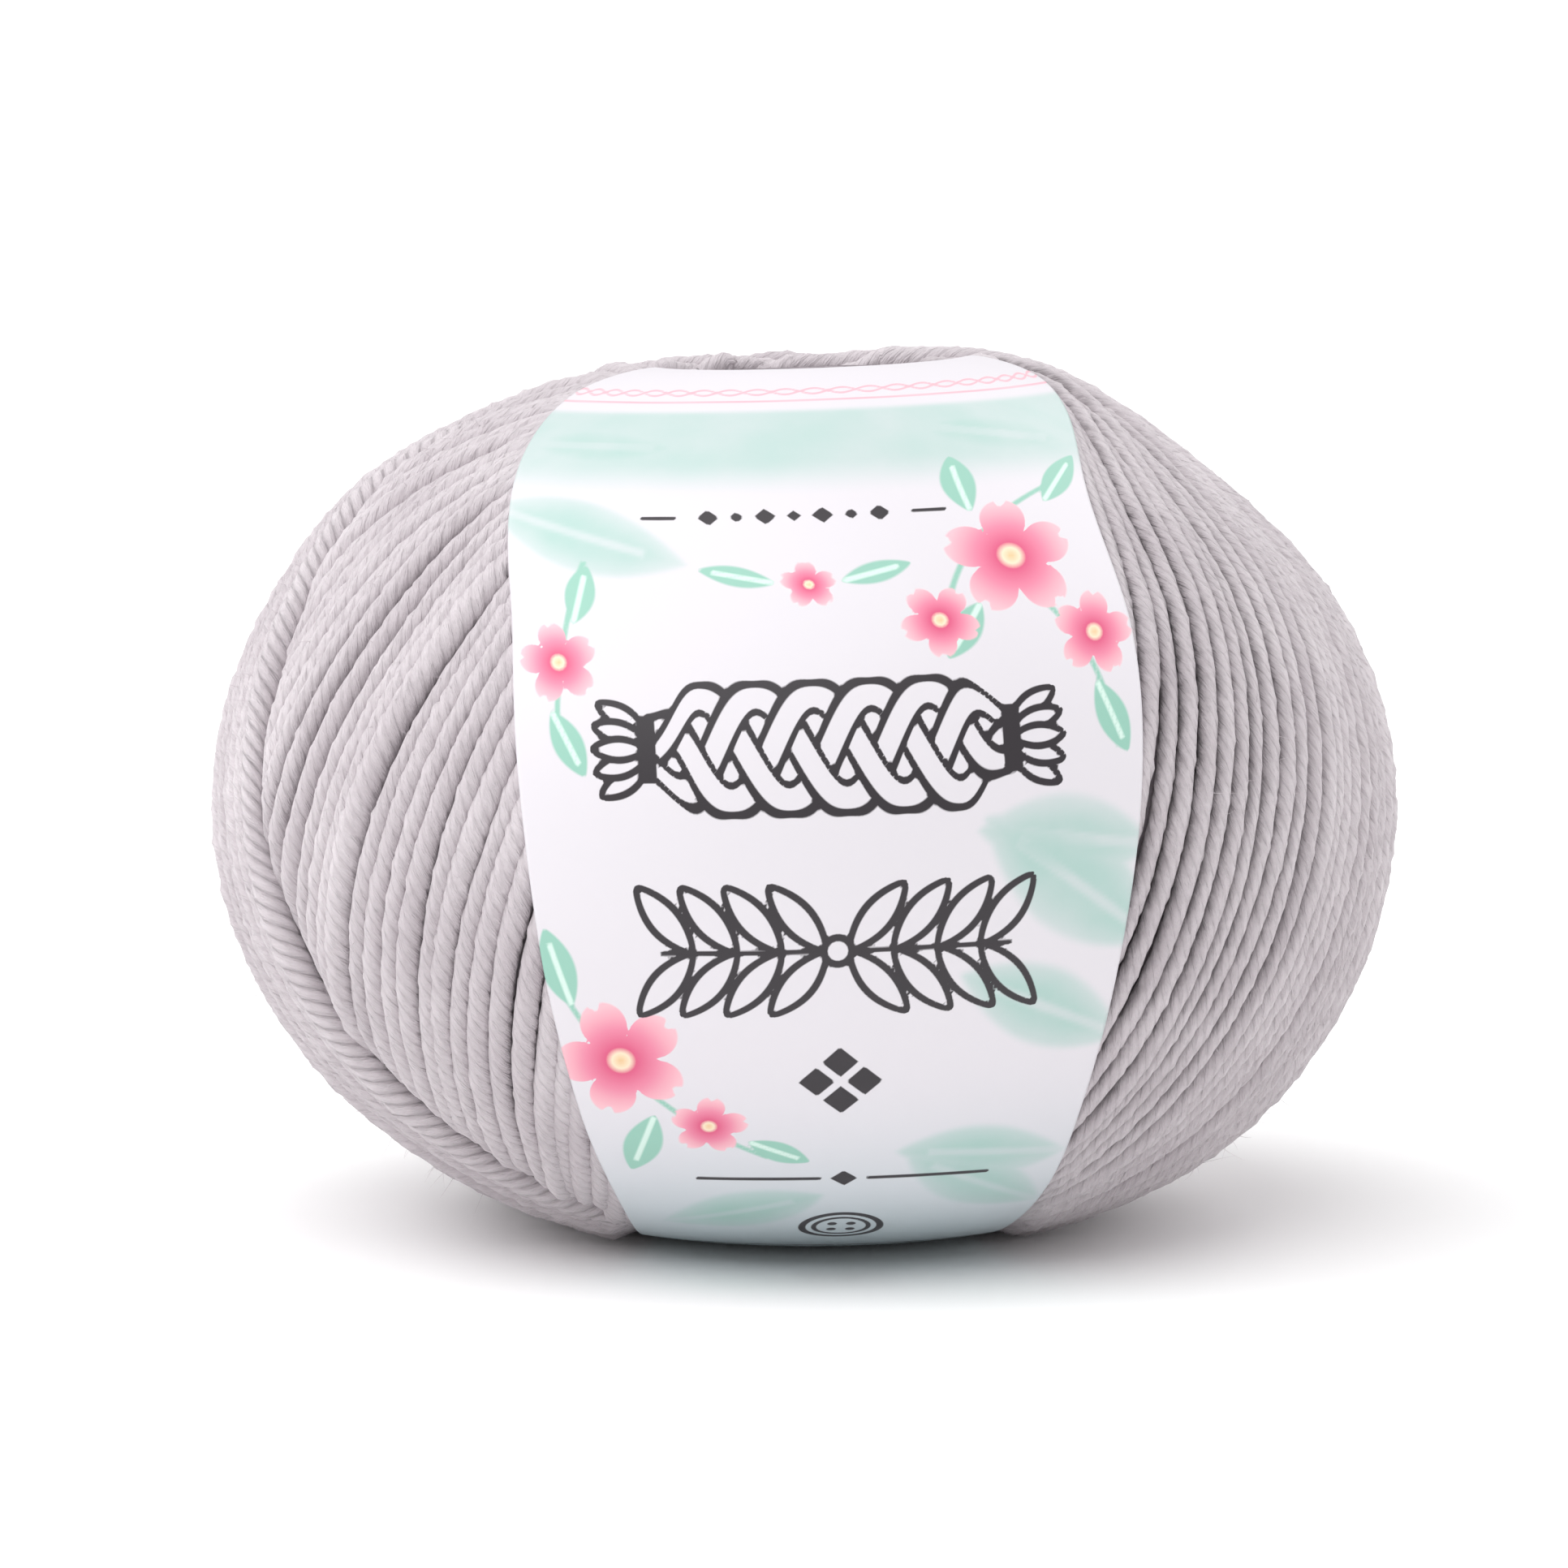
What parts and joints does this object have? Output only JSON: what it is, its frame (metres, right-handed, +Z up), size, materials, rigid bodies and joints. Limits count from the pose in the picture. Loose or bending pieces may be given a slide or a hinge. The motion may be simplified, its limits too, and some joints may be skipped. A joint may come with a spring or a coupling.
{
  "type": "ball of yarn",
  "caption": "Machine-wound ball of plied yarn with a hole through its middle and a paper label band over its front, standing on a small flat spot.",
  "frame": {"origin": "Centre of the bounding box at its base, on the surface that the ball stands on.", "axes": "+Z is up along the hole that the yarn is wound round, -Y is the front, where the label band is, and +X is to the right of someone who looks at the front."},
  "size_m": [0.0996, 0.1008, 0.0745],
  "materials": {
    "wool": "soft plied wool yarn, pale lilac grey, matt with a slight sheen",
    "paper": "thin smooth satin paper, printed pale mint, pink and charcoal on white"
  },
  "bodies": {
    "root": {"yarn_ball": "wool", "label_band": "paper"}
  },
  "joints": []
}
